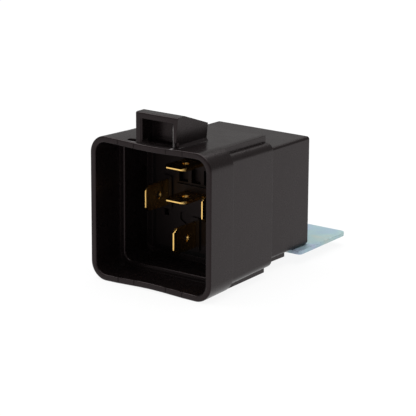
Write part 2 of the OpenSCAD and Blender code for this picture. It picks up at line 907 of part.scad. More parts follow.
// The middle line of the spring's side view, from its foot on the yoke over the loop to its tip
function spring_line() = concat(
    [[spring_foot, yoke_out - spring_t / 2], [loop_low, yoke_out - spring_t / 2]],
    [for (i = [0:loop_steps])
        let (a = 20 * (1 - i / loop_steps) - 90 * i / loop_steps)
        turned([loop_mid - loop_r * sin(a), yoke_out - loop_r * cos(a)])],
    [turned([loop_mid + loop_r, yoke_out + spring_t]), turned([loop_mid + loop_r, spring_end])]
);

// Direction across a line at one of its points
function across(line, i) =
    let (a = line[max(i - 1, 0)], b = line[min(i + 1, len(line) - 1)], d = unit(b - a))
    [-d[1], d[0]];

module contact_spring() {
    line = spring_line();
    last = len(line) - 1;
    edge = spring_t / 2;
    color(copper)
        in_frame()
            difference() {
                intersection() {
                    along_x(-spring_w / 2, spring_w / 2)
                        polygon(concat(
                            [for (i = [0:last]) line[i] + edge * across(line, i)],
                            [for (i = [last:-1:0]) line[i] - edge * across(line, i)]));
                    translate([0, can_l, 0])
                        rotate([90, 0, 0])
                            linear_extrude(height = can_l)
                                polygon([[-spring_w / 2, -skirt_h / 2], [spring_w / 2, -skirt_h / 2],
                                    [spring_w / 2, armature_tip - 2], [spring_tip_w / 2, armature_tip + 1],
                                    [spring_tip_w / 2, spring_end + 1], [-spring_tip_w / 2, spring_end + 1],
                                    [-spring_tip_w / 2, armature_tip + 1], [-spring_w / 2, armature_tip - 2]]);
                }
                box([-1.6, loop_low, yoke_out - 2 * loop_r], [1.6, can_l, yoke_out + 1.5]);
                for (x = [-1, 1])
                    translate([x * spring_rivet_pitch / 2, spring_rivet_y, yoke_out - 1])
                        cylinder(h = 2, d = spring_rivet_d + 2 * fit_gap);
                released() {
                    for (x = [-1, 1])
                        rod_y(x * arm_rivet_pitch / 2, arm_rivet_z, armature_under, spring_over + 1,
                            arm_rivet_d + 2 * fit_gap);
                    rod_y(0, contact_z, armature_under, spring_over + 1, shank_d + 2 * fit_gap);
                }
            }
}

module spring_rivets() {
    color(steel)
        in_frame()
            for (x = [-1, 1])
                translate([x * spring_rivet_pitch / 2, spring_rivet_y, yoke_in])
                    mirror([0, 0, 1]) {
                        cylinder(h = yoke_t + spring_t, d = spring_rivet_d);
                        translate([0, 0, yoke_t + spring_t])
                            dome(spring_rivet_head, spring_rivet_h, 0.4);
                    }
}

module armature_rivets() {
    color(steel)
        in_frame()
            released()
                for (x = [-1, 1])
                    translate([x * arm_rivet_pitch / 2, armature_under, arm_rivet_z])
                        rotate([-90, 0, 0]) {
                            cylinder(h = armature_t + spring_t, d = arm_rivet_d);
                            translate([0, 0, armature_t + spring_t])
                                dome(arm_rivet_head, arm_rivet_h, 0.4);
                        }
}

module moving_contact() {
    color(silver)
        in_frame()
            released()
                translate([0, 0, contact_z]) {
                    rod_y(0, 0, armature_over - eps, spring_over + eps, shank_d);
                    translate([0, armature_over, 0])
                        rotate([90, 0, 0])
                            dome(contact_d, contact_h, 0.25);
                    translate([0, spring_over, 0])
                        rotate([-90, 0, 0])
                            dome(contact_d, upper_h, 0.25);
                }
}

module open_contact() {
    color(silver)
        in_frame()
            translate([0, 0, contact_z]) {
                rod_y(0, 0, lug_under, lug_over + eps, shank_d);
                translate([0, lug_over, 0])
                    rotate([-90, 0, 0])
                        dome(contact_d, contact_h, 0.25);
            }
}

module closed_contact() {
    color(silver)
        in_frame()
            translate([0, 0, contact_z]) {
                rod_y(0, 0, arm_under - eps, arm_over, shank_d);
                translate([0, arm_under, 0])
                    rotate([90, 0, 0])
                        dome(contact_d, upper_h, 0.25);
            }
}

housing();
bracket();
base();
seal();
terminal_common();
terminal_open();
terminal_closed();
terminal_coil_left();
terminal_coil_right();
yoke();
core();
bobbin();
winding();
coil_lead_left();
coil_lead_right();
resistor();
resistor_leads();
armature();
contact_spring();
spring_rivets();
armature_rivets();
moving_contact();
open_contact();
closed_contact();
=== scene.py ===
import json
import logging
import math
from dataclasses import dataclass, replace
from enum import Enum
from functools import cached_property
from typing import Callable, Optional, Sequence, Union

import bpy
from mathutils import Matrix, Vector


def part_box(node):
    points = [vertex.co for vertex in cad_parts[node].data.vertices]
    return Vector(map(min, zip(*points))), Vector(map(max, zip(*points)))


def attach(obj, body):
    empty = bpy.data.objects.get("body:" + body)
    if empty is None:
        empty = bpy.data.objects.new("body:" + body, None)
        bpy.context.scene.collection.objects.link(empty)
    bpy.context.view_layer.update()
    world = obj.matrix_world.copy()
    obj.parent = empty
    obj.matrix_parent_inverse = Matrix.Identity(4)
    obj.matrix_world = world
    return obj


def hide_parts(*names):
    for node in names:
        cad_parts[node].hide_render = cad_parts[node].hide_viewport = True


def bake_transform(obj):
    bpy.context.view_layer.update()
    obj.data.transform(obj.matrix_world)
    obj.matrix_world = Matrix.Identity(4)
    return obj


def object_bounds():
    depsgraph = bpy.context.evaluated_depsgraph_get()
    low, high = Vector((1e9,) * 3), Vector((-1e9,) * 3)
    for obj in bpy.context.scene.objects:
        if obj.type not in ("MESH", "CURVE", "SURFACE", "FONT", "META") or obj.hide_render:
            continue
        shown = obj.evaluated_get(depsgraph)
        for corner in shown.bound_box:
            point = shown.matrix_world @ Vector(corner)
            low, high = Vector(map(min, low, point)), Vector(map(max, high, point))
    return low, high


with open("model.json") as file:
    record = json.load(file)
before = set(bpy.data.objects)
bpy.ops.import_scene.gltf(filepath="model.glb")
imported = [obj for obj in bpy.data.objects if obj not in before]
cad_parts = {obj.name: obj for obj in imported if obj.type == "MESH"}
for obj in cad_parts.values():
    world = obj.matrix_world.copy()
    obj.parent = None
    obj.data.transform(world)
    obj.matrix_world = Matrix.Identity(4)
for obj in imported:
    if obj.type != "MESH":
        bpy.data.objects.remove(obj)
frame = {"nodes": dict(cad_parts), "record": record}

CAD_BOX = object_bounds()
LOG = logging.getLogger("relay")
MM = 0.001
RELAY_BODY = "relay"

Tone = tuple[float, float, float]
Rule = Callable[[Vector, Vector], bool]
Look = bpy.types.Material


class Pick(Enum):
    """What a selection is made of."""

    POINTS = "VERT"
    EDGES = "EDGE"
    FACES = "FACE"


class Cut(Enum):
    """How one solid acts on another."""

    ADD = "UNION"
    REMOVE = "DIFFERENCE"


@dataclass(frozen=True)
class MouthFrame:
    """The middle of the skirt's mouth, from which every length in the size classes is measured."""

    skirt_h: float = 35.4

    @cached_property
    def origin(self) -> Vector:
        """The mouth's middle in the shared frame, in metres."""
        low, _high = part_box("housing")
        return Vector((0.0, low.y, low.z + self.skirt_h * MM / 2))

    def at(self, x: float, y: float, z: float) -> Vector:
        """A point of the shared frame, from millimetres right of, behind and over the mouth's middle."""
        return self.origin + Vector((x, y, z)) * MM

    def local(self, point: Vector) -> Vector:
        """A point of the shared frame, back in millimetres from the mouth's middle."""
        return (point - self.origin) / MM

    def box(self, node: str) -> tuple[Vector, Vector]:
        """A solid's lowest and highest corners, in millimetres from the mouth's middle."""
        low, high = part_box(node)
        return self.local(low), self.local(high)


MOUTH = MouthFrame()


class Bench:
    """One piece on the bench, shaped with the modelling operators."""

    def __init__(self, name: str) -> None:
        """Starts an empty piece of that name."""
        self.clear()
        mesh = bpy.data.meshes.new(name)
        self.piece = bpy.data.objects.new(name, mesh)
        bpy.context.scene.collection.objects.link(self.piece)
        self.hold()

    @classmethod
    def copy_of(cls, node: str, name: str) -> "Bench":
        """A bench with a merged copy of a solid's mesh.

        Args:
            node: The solid's name.
            name: The new piece's name.

        Returns:
            The bench.
        """
        bench = cls(name)
        source = frame["nodes"][node]
        bench.piece.data = source.data.copy()
        bench.piece.data.transform(source.matrix_world)
        bench.weld(0.001)
        bpy.ops.mesh.dissolve_limited(angle_limit=math.radians(0.5))
        bench.leave()
        return bench

    @staticmethod
    def clear() -> None:
        """Leaves edit mode and deselects everything."""
        if bpy.context.object is not None and bpy.context.object.mode != "OBJECT":
            bpy.ops.object.mode_set(mode="OBJECT")
        bpy.ops.object.select_all(action="DESELECT")

    def hold(self) -> None:
        """Makes this piece the only selected and the active one."""
        self.clear()
        self.piece.select_set(True)
        bpy.context.view_layer.objects.active = self.piece

    def edit(self, pick: Pick = Pick.POINTS) -> None:
        """Enters edit mode for one kind of element, with nothing selected."""
        self.hold()
        bpy.ops.object.mode_set(mode="EDIT")
        bpy.ops.mesh.select_mode(type=pick.value)
        bpy.ops.mesh.select_all(action="DESELECT")

    def leave(self) -> None:
        """Leaves edit mode."""
        if self.piece.mode != "OBJECT":
            bpy.ops.object.mode_set(mode="OBJECT")

    def unmark(self) -> None:
        """Leaves edit mode with no element marked as selected."""
        self.leave()
        mesh = self.piece.data
        for group in (mesh.vertices, mesh.edges, mesh.polygons):
            group.foreach_set("select", [False] * len(group))

    def enter(self, pick: Pick) -> None:
        """Enters edit mode with the marked elements selected."""
        self.hold()
        bpy.context.tool_settings.mesh_select_mode = tuple(pick is kind for kind in Pick)
        bpy.ops.object.mode_set(mode="EDIT")

    def select(self, pick: Pick, rule: Rule) -> None:
        """Selects elements by place and normal and enters edit mode.

        Args:
            pick: The kind of element.
            rule: Takes a middle in millimetres from the mouth, and a normal or an edge's step.
        """
        self.unmark()
        mesh = self.piece.data
        points = [MOUTH.local(v.co) for v in mesh.vertices]
        if pick is Pick.POINTS:
            for vertex, point in zip(mesh.vertices, points):
                vertex.select = rule(point, vertex.normal)
        elif pick is Pick.EDGES:
            for edge in mesh.edges:
                a, b = edge.vertices
                edge.select = rule((points[a] + points[b]) / 2, points[b] - points[a])
        else:
            for face in mesh.polygons:
                middle = sum((points[i] for i in face.vertices), Vector()) / len(face.vertices)
                face.select = rule(middle, face.normal)
        self.enter(pick)

    def select_points(self, first: int, last: int) -> None:
        """Selects the points numbered from first up to last, and the edges between them."""
        self.unmark()
        mesh = self.piece.data
        for vertex in mesh.vertices[first:last]:
            vertex.select = True
        for edge in mesh.edges:
            edge.select = all(first <= i < last for i in edge.vertices)
        self.enter(Pick.EDGES)

    def block(self, low: Sequence[float], high: Sequence[float]) -> None:
        """Adds a block, left selected in edit mode.

        Args:
            low: Its lowest corner, in millimetres from the mouth.
            high: Its highest corner.
        """
        self.edit()
        middle = MOUTH.at(*[(a + b) / 2 for a, b in zip(low, high)])
        bpy.ops.mesh.primitive_cube_add(size=MM, location=middle)
        size = [b - a for a, b in zip(low, high)]
        bpy.ops.transform.resize(value=size, center_override=middle)

    def drum(self, base: Sequence[float], height: float, diameter: float, along: str = "Z", sides: int = 48) -> None:
        """Adds a cylinder, left selected in edit mode.

        Args:
            base: The middle of its first end, in millimetres from the mouth.
            height: Its length along the axis, negative to go down the axis.
            diameter: Its diameter.
            along: The axis it follows, "Y" or "Z".
            sides: How many sides it has.
        """
        self.edit()
        step = {"Y": Vector((0, height / 2, 0)), "Z": Vector((0, 0, height / 2))}[along]
        turn = {"Y": (math.pi / 2, 0, 0), "Z": (0, 0, 0)}[along]
        bpy.ops.mesh.primitive_cylinder_add(
            vertices=sides, radius=diameter * MM / 2, depth=abs(height) * MM,
            location=MOUTH.at(*(Vector(base) + step)), rotation=turn,
        )

    def cone(self, base: Sequence[float], height: float, diameter: float, end_diameter: float) -> None:
        """Adds an upright cone's frustum.

        Args:
            base: The middle of its lower end, in millimetres from the mouth.
            height: Its height.
            diameter: Its diameter at the lower end.
            end_diameter: Its diameter at the upper end.
        """
        self.drum(base, height, diameter)
        end = Vector(base) + Vector((0, 0, height))
        self.select(
            Pick.POINTS,
            lambda p, n: abs(p.z - end.z) < 0.01 and abs((p.xy - end.xy).length - diameter / 2) < 0.01,
        )
        self.resize((end_diameter / diameter, end_diameter / diameter, 1), end)

    def move(self, x: float = 0.0, y: float = 0.0, z: float = 0.0, soft: float = 0.0) -> None:
        """Moves what is selected.

        Args:
            x: Millimetres to the right.
            y: Millimetres to the rear.
            z: Millimetres up.
            soft: How far around, in millimetres, the rest follows smoothly.
        """
        bpy.ops.transform.translate(
            value=(x * MM, y * MM, z * MM), use_proportional_edit=soft > 0,
            proportional_edit_falloff="SMOOTH", proportional_size=max(soft, 1.0) * MM,
        )

    def resize(self, scale: Sequence[float], centre: Sequence[float]) -> None:
        """Resizes what is selected about a point in millimetres from the mouth."""
        bpy.ops.transform.resize(value=tuple(scale), center_override=MOUTH.at(*centre))

    def bevel(self, radius: float, segments: int, points: bool = False) -> None:
        """Rounds what is selected.

        Args:
            radius: The radius in millimetres.
            segments: Faces across the rounding.
            points: Whether corners of a flat outline are rounded instead of edges.
        """
        bpy.ops.mesh.bevel(
            offset=radius * MM, segments=segments, affect="VERTICES" if points else "EDGES", clamp_overlap=False,
        )

    def edit_all(self) -> None:
        """Enters edit mode with everything selected."""
        self.edit()
        bpy.ops.mesh.select_all(action="SELECT")

    def bisect(self, point: Sequence[float], normal: Sequence[float]) -> None:
        """Cuts a new loop of edges round the piece, in a plane through a point in millimetres from the mouth."""
        self.edit_all()
        bpy.ops.mesh.bisect(plane_co=MOUTH.at(*point), plane_no=normal)

    def weld(self, distance: float) -> None:
        """Merges points of the whole piece that are closer than a distance in millimetres."""
        self.edit_all()
        bpy.ops.mesh.remove_doubles(threshold=distance * MM)

    def face_out(self) -> None:
        """Turns all faces outwards."""
        self.edit_all()
        bpy.ops.mesh.normals_make_consistent(inside=False)
        self.leave()

    def modify(self, kind: str, **settings: object) -> None:
        """Applies a modifier to the piece.

        Args:
            kind: The modifier's type.
            **settings: Its properties.
        """
        self.hold()
        modifier = self.piece.modifiers.new(kind.lower(), kind)
        for key, value in settings.items():
            setattr(modifier, key, value)
        bpy.ops.object.modifier_apply(modifier=modifier.name)

    def combine(self, tool: "Bench", cut: Cut) -> None:
        """Adds or removes another solid, which is used up.

        Args:
            tool: The other solid.
            cut: Whether it is added or removed.
        """
        tool.face_out()
        self.face_out()
        self.modify("BOOLEAN", operation=cut.value, solver="EXACT", object=tool.piece)
        bpy.data.objects.remove(tool.piece)

    def hold_still(self, rule: Rule) -> None:
        """Hides the points that a rule picks, so that the next tools leave them alone."""
        self.select(Pick.POINTS, rule)
        bpy.ops.mesh.hide(unselected=False)

    def reveal(self) -> None:
        """Shows all points again."""
        self.edit()
        bpy.ops.mesh.reveal(select=False)

    def soften(self, width: float, segments: int, angle: float, spare: Optional[Rule] = None) -> None:
        """Rounds every edge sharper than an angle.

        Args:
            width: Width of the rounding in millimetres.
            segments: Faces across it.
            angle: Degrees between the faces, over which an edge is rounded.
            spare: Picks edges to leave sharp, by middle and direction.
        """
        self.edit(Pick.EDGES)
        bpy.ops.mesh.edges_select_sharp(sharpness=math.radians(angle))
        self.leave()
        mesh = self.piece.data
        sharp = [edge.select for edge in mesh.edges]
        number = iter(range(len(sharp)))
        self.select(Pick.EDGES, lambda p, d: sharp[next(number)] and not (spare and spare(p, d)))
        bpy.ops.transform.edge_bevelweight(value=1.0)
        self.modify(
            "BEVEL", width=width * MM, segments=segments, limit_method="WEIGHT",
            use_clamp_overlap=False, miter_outer="MITER_ARC",
        )

    def shade(self, angle: float) -> None:
        """Shades smoothly over edges flatter than an angle in degrees."""
        self.hold()
        bpy.ops.object.shade_smooth_by_angle(angle=math.radians(angle))
        self.modify("WEIGHTED_NORMAL", keep_sharp=True)

    def seat(
        self, body: Optional[str], slot: str, nodes: Sequence[str], look: Look
    ) -> bpy.types.Object:
        """Puts the finished piece in the relay.

        Args:
            body: The body that it rides on, or None to leave the piece unattached.
            slot: The record's material slot; not used.
            nodes: The solids that it stands for.
            look: Its material.

        Returns:
            The finished piece.
        """
        self.face_out()
        self.piece.data.materials.clear()
        self.piece.data.materials.append(look)
        if body is not None:
            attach(self.piece, body)
        if nodes:
            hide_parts(*nodes)
        LOG.info("%s stands for %s", self.piece.name, ", ".join(nodes) or "nothing")
        self.clear()
        return self.piece


Operand = Union["Sock", int, float]


def maths(operation: str, swapped: bool = False) -> Callable[["Sock", Operand], "Sock"]:
    """A method for Sock that adds one maths node, with the other value first if it is swapped."""

    def method(self: "Sock", other: Operand) -> "Sock":
        """One maths node on this and another value."""
        pair = (other, self) if swapped else (self, other)
        return self.graph.node("ShaderNodeMath", dict(enumerate(pair)), operation=operation)

    return method


class Sock:
    """A number that varies over a surface, with arithmetic that makes the nodes."""

    def __init__(self, graph: "Graph", socket: bpy.types.NodeSocket) -> None:
        """Wraps an output socket of a graph."""
        self.graph = graph
        self.socket = socket

    __add__, __radd__ = maths("ADD"), maths("ADD", swapped=True)
    __sub__, __rsub__ = maths("SUBTRACT"), maths("SUBTRACT", swapped=True)
    __mul__, __rmul__ = maths("MULTIPLY"), maths("MULTIPLY", swapped=True)
    __truediv__, __rtruediv__ = maths("DIVIDE"), maths("DIVIDE", swapped=True)
    __pow__, __rpow__ = maths("POWER"), maths("POWER", swapped=True)
    larger = maths("MAXIMUM")

    def __abs__(self) -> "Sock":
        """abs(self)."""
        return self.graph.node("ShaderNodeMath", {0: self}, operation="ABSOLUTE")

    def clamped(self) -> "Sock":
        """This value, kept between 0 and 1."""
        return self.graph.node("ShaderNodeClamp", {0: self})

    def step(self, low: float, high: float) -> "Sock":
        """A smooth step: 0 up to low, 1 from high."""
        return self.graph.node(
            "ShaderNodeMapRange", {"Value": self, "From Min": low, "From Max": high},
            interpolation_type="SMOOTHSTEP",
        )

    def window(self, start: float, open_at: float, close_at: float, end: float) -> "Sock":
        """A smooth window: 0 before its start, 1 from where it is open to where it closes, 0 after its end."""
        return self.step(start, open_at) * (1 - self.step(close_at, end))


class Graph:
    """The node graph of a material or of the world."""

    def __init__(self, owner: Union[Look, bpy.types.World]) -> None:
        """Empties the graph of a material or of the world."""
        self.owner = owner
        owner.use_nodes = True
        self.tree = owner.node_tree
        self.tree.nodes.clear()

    @classmethod
    def of_material(cls, name: str) -> "Graph":
        """The empty graph of a new material."""
        return cls(bpy.data.materials.new(name))

    def raw(self, kind: str, inputs: dict, **settings: object) -> bpy.types.Node:
        """Adds any node.

        Args:
            kind: The node's type.
            inputs: Input name or number to a value or a Sock.
            **settings: The node's own properties.

        Returns:
            The node.
        """
        node = self.tree.nodes.new(kind)
        for key, value in settings.items():
            setattr(node, key, value)
        for key, value in inputs.items():
            if isinstance(value, Sock):
                self.tree.links.new(value.socket, node.inputs[key])
            else:
                node.inputs[key].default_value = value
        return node

    def node(self, kind: str, inputs: dict, output: Union[int, str] = 0, **settings: object) -> Sock:
        """Adds any node and gives one of its outputs as a Sock."""
        return Sock(self, self.raw(kind, inputs, **settings).outputs[output])

    def place(self, scale: Sequence[float] = (1.0, 1.0, 1.0), turn: Sequence[float] = (0.0, 0.0, 0.0)) -> Sock:
        """The surface's own coordinates in millimetres, scaled and turned (in radians) along each axis."""
        coordinates = self.node("ShaderNodeTexCoord", {}, output="Object")
        return self.node(
            "ShaderNodeMapping",
            {"Vector": coordinates, "Scale": tuple(s / MM for s in scale), "Rotation": tuple(turn)},
        )

    def axis(self, letter: str) -> Sock:
        """One of the surface's own coordinates, in millimetres."""
        return self.node("ShaderNodeSeparateXYZ", {0: self.place()}, output=letter)

    def from_mouth(self) -> list[Sock]:
        """The surface's own X, Y and Z, in millimetres from the mouth's middle."""
        return [self.axis(letter) - middle / MM for letter, middle in zip("XYZ", MOUTH.origin)]

    def ray(self, kind: str) -> Sock:
        """Whether a ray is of a kind: 0 or 1."""
        return self.node("ShaderNodeLightPath", {}, output=kind)

    def noise(self, size: float, where: Optional[Sock] = None, detail: float = 3.0, rough: float = 0.5) -> Sock:
        """A cloudy pattern from 0 to 1.

        Args:
            size: The size of its patches, in millimetres.
            where: The coordinates, or None for the surface's own.
            detail: Layers of finer patches.
            rough: How strong the finer layers are.

        Returns:
            The pattern.
        """
        return self.node(
            "ShaderNodeTexNoise",
            {"Vector": where or self.place(), "Scale": 1.0 / size, "Detail": detail, "Roughness": rough},
        )

    def blend(self, factor: Sock, a: Union[Sock, Tone], b: Union[Sock, Tone]) -> Sock:
        """Mixes two colours by the second one's share."""
        a, b = (side if isinstance(side, Sock) else colour(*side) for side in (a, b))
        return self.node("ShaderNodeMix", {0: factor, 6: a, 7: b}, output=2, data_type="RGBA")

    def bump(self, height: Sock, depth: float) -> Sock:
        """A surface normal from a height of 0 to 1, and its depth in millimetres."""
        return self.node("ShaderNodeBump", {"Height": height, "Distance": depth * MM, "Strength": 1.0})

    def end(
        self, first: bpy.types.Node, second: Optional[bpy.types.Node] = None, share: Optional[Sock] = None,
        output: str = "ShaderNodeOutputMaterial",
    ) -> Union[Look, bpy.types.World]:
        """Ends the graph in one shader, or in a mix of two.

        Args:
            first: The shader.
            second: The shader that it is mixed with.
            share: The second shader's share.
            output: The output node's type.

        Returns:
            The material or the world.
        """
        link = self.tree.links.new
        shader = first
        if second is not None:
            shader = self.raw("ShaderNodeMixShader", {0: share})
            link(first.outputs[0], shader.inputs[1])
            link(second.outputs[0], shader.inputs[2])
        link(shader.outputs[0], self.raw(output, {}).inputs[0])
        return self.owner

    def surface(
        self, base: Sock, rough: Sock, normal: Sock, fixed: dict, other: Optional[dict] = None,
        share: Optional[Sock] = None,
    ) -> Look:
        """Ends the graph in one Principled shader, or in a mix of two.

        Args:
            base: The colour.
            rough: The roughness.
            normal: The normal.
            fixed: Shader inputs that are the same all over.
            other: The second shader's fixed inputs.
            share: The second shader's share.

        Returns:
            The material.
        """
        varying = {"Base Color": base, "Roughness": rough.clamped(), "Normal": normal}
        sides = [fixed] if other is None else [fixed, other]
        return self.end(*(self.raw("ShaderNodeBsdfPrincipled", {**side, **varying}) for side in sides), share=share)


def colour(r: float, g: float, b: float) -> tuple[float, float, float, float]:
    """A colour with full alpha."""
    return (r, g, b, 1.0)


@dataclass(frozen=True)
class MouldedPlastic:
    """Moulded thermoplastic: a fine spark-eroded grain, flow clouds and handling marks, with painted highlights and a
    less reflective, painted-shade inside where these are set.
    """

    name: str
    tone: Tone
    roughness: float
    grain: float
    specular: float = 0.5
    tint: Tone = (1.0, 1.0, 1.0)
    # Specular level of the painted-shade copy inside the skirt and pocket; 0 leaves it out.
    shade_inner_specular: float = 0.0

    def inside(self, g: Graph) -> Sock:
        """Where shade is painted as a less reflective copy of the plastic: 0 outside, 1 inside the skirt and the latch
        pocket.
        """
        x, y, z = g.from_mouth()
        wall = 16.45 - y.step(9.15, 9.25) * 1.5
        skirt = (1 - (abs(x).larger(abs(z)) - wall).step(-0.1, 0.0)) * y.window(0.3, 1.2, 19.0, 19.2)
        pocket = (1 - abs(x - 1.5).step(4.4, 4.5)) * y.window(1.3, 1.6, 5.3, 5.4) * z.window(16.5, 16.6, 23.35, 23.4)
        return (skirt + pocket).clamped()

    def painted_highlights(self, g: Graph) -> Sock:
        """Where lighter grey highlights are painted: beside the slot and on the right leg's inner edge."""
        x, y, z = g.from_mouth()
        land = x.window(-7.4, -4.8, -4.6, -4.5) * y.window(0.5, 0.7, 1.15, 1.3)
        leg = x.window(5.75, 5.8, 6.35, 6.5) * (1 - y.step(1.3, 1.5)) * (1 - z.step(22.0, 23.4))
        return (land + leg) * z.step(17.3, 17.4)

    def deeper(self, factor: float) -> Tone:
        """The plastic's colour times a factor."""
        return tuple(share * factor for share in self.tone)

    def make(self) -> Look:
        """Builds the material."""
        g = Graph.of_material(self.name)
        flow = g.noise(9.0, g.place(scale=(1.0, 0.35, 1.0)), detail=4.0)
        grain = g.noise(0.16, detail=2.0)
        cloud = g.noise(3.0, detail=3.0)
        streaks = g.place(scale=(0.15, 1.6, 1.0), turn=(0.4, 0.3, 0.2))
        scuff = g.noise(1.2, streaks, detail=5.0, rough=0.7).step(0.62, 0.74)
        base = g.blend(flow, self.deeper(0.86), self.deeper(1.16))
        base = g.blend(scuff * 0.18, base, self.deeper(2.2))
        rough = self.roughness + (cloud - 0.5) * 0.14 + (grain - 0.5) * 0.08 - scuff * 0.05
        normal = g.bump(grain * 0.7 + flow * 0.3, self.grain)
        fixed = {"Specular IOR Level": self.specular, "IOR": 1.5, "Specular Tint": colour(*self.tint)}
        if not self.shade_inner_specular:
            return g.surface(base, rough, normal, fixed)
        # Painted highlights: lighter grey on the land before the slot and on the right leg's inner edge.
        base = g.blend(self.painted_highlights(g) * 0.4, base, (0.42, 0.40, 0.40))
        # Painted shade: inside the skirt and the latch pocket a less reflective copy of the plastic is mixed in.
        inner = {**fixed, "Specular IOR Level": self.shade_inner_specular}
        return g.surface(base, rough, normal, fixed, inner, self.inside(g))


@dataclass(frozen=True)
class PlatedSheet:
    """Zinc plated steel sheet with a thin iridescent passivation and rolling lines."""

    name: str
    tone: Tone
    green: Tone
    gold: Tone
    violet: Tone

    def make(self) -> Look:
        """Builds the material."""
        g = Graph.of_material(self.name)
        drift = g.noise(7.0, g.place(scale=(0.7, 1.0, 1.0)), detail=2.0)
        lines = g.noise(0.35, g.place(scale=(1.0, 0.04, 1.0)), detail=3.0)
        spangle = g.noise(0.8, detail=3.0)
        base = g.blend(drift.step(0.34, 0.5), self.violet, self.tone)
        base = g.blend(drift.step(0.48, 0.62) * 0.7, base, self.green)
        base = g.blend(drift.step(0.6, 0.74) * 0.5, base, self.gold)
        rough = 0.44 + (spangle - 0.5) * 0.16 + (lines - 0.5) * 0.1
        normal = g.bump(lines * 0.6 + spangle * 0.4, 0.006)
        return g.surface(base, rough, normal, {"Metallic": 0.55})


@dataclass(frozen=True)
class StampedMetal:
    """Stamped strip metal: drawn lines one way, tarnish in patches."""

    name: str
    tone: Tone
    tarnish: Tone
    roughness: float
    along: str = "Y"

    def make(self) -> Look:
        """Builds the material."""
        g = Graph.of_material(self.name)
        stretch = tuple(0.05 if letter == self.along else 1.0 for letter in "XYZ")
        lines = g.noise(0.12, g.place(scale=stretch), detail=3.0)
        patch = g.noise(1.8, detail=4.0, rough=0.6)
        base = g.blend(patch.step(0.4, 0.8) * 0.5, self.tone, self.tarnish)
        base = g.blend(lines.step(0.55, 0.75) * 0.15, base, self.tarnish)
        rough = self.roughness + (patch - 0.5) * 0.16 + (lines - 0.5) * 0.12
        normal = g.bump(lines, 0.004)
        return g.surface(base, rough, normal, {"Metallic": 1.0})


@dataclass(frozen=True)
class WoundWire:
    """Layers of enamelled wire, wound round the bobbin's axis, with painted shade between the turns."""

    name: str
    tone: Tone
    # Darker copper: the tone of random stray patches, and painted shade between the turns.
    stray_and_groove_shade: Tone
    pitch: float

    def make(self) -> Look:
        """Builds the material."""
        g = Graph.of_material(self.name)
        wobble = g.noise(2.2, detail=2.0) * 0.35
        phase = (g.axis("Y") + wobble) * (2 * math.pi / self.pitch)
        turn = g.node("ShaderNodeMath", {0: phase}, operation="SINE")
        height = (turn * 0.5 + 0.5) ** 0.5
        stray = g.noise(1.5, g.place(scale=(1.0, 3.0, 1.0)), detail=3.0)
        # Painted shade: darker between the turns, following the winding's height.
        base = g.blend(height, self.stray_and_groove_shade, self.tone)
        base = g.blend(stray.step(0.55, 0.75) * 0.35, base, self.stray_and_groove_shade)
        normal = g.bump(height, self.pitch * 0.4)
        rough = 0.32 + (stray - 0.5) * 0.2
        return g.surface(base, rough, normal, {"Metallic": 0.75, "Coat Weight": 0.4, "Coat Roughness": 0.2})


@dataclass(frozen=True)
class Finishes:
    """Every finish of the relay."""

    housing: MouldedPlastic = MouldedPlastic(
        "housing_plastic", (0.0050, 0.0034, 0.0035), 0.28, 0.003, 0.25, (1.0, 0.80, 0.82), 0.2
    )
    base: MouldedPlastic = MouldedPlastic("base_plastic", (0.0040, 0.0028, 0.0028), 0.5, 0.008, 0.21, (1.0, 0.8, 0.8))
    bobbin: MouldedPlastic = MouldedPlastic("bobbin_plastic", (0.66, 0.60, 0.42), 0.45, 0.008)
    sealant: MouldedPlastic = MouldedPlastic("sealant", (0.004, 0.003, 0.003), 0.3, 0.02, 0.14)
    resistor: MouldedPlastic = MouldedPlastic("resistor_body", (0.18, 0.36, 0.46), 0.3, 0.01)
    plate: PlatedSheet = PlatedSheet(
        "zinc_plate", (0.37, 0.51, 0.58), (0.40, 0.56, 0.54), (0.54, 0.55, 0.48), (0.39, 0.46, 0.59)
    )
    brass: StampedMetal = StampedMetal("terminal_brass", (0.95, 0.62, 0.20), (0.78, 0.40, 0.10), 0.24)
    steel: StampedMetal = StampedMetal("magnet_steel", (0.56, 0.55, 0.53), (0.40, 0.38, 0.35), 0.34, "Z")
    bronze: StampedMetal = StampedMetal("spring_bronze", (0.80, 0.50, 0.30), (0.50, 0.30, 0.18), 0.3, "Z")
    silver: StampedMetal = StampedMetal("contact_silver", (0.90, 0.89, 0.86), (0.62, 0.60, 0.55), 0.22, "X")
    tin: StampedMetal = StampedMetal("tinned_wire", (0.78, 0.78, 0.76), (0.58, 0.58, 0.56), 0.3, "X")
    wire: WoundWire = WoundWire("enamelled_copper", (0.80, 0.34, 0.14), (0.32, 0.10, 0.04), 0.16)

    def make(self) -> dict[str, Look]:
        """Builds every material, each under the name of its slot."""
        return {finish.name: finish.make() for finish in vars(self).values()}


@dataclass(frozen=True)
class Section:
    """A cross-section of the housing at one depth, a rounded rectangle in millimetres."""

    y: float
    width: float
    height: float
    radius: float
    drop: float = 0.0


@dataclass(frozen=True)
class Stakes:
    """Where the two pegs are that hold the plate under the can."""

    pitch: float = 18.0
    y: float = 42.65

    def spots(self) -> list[tuple[float, float]]:
        """The pegs' places across and behind the mouth, in millimetres."""
        return [(side * self.pitch / 2, self.y) for side in (-1, 1)]


def quarter(steps: int) -> list[float]:
    """Angles from nought to a right angle, in equal steps."""
    return [math.pi / 2 * step / steps for step in range(steps + 1)]


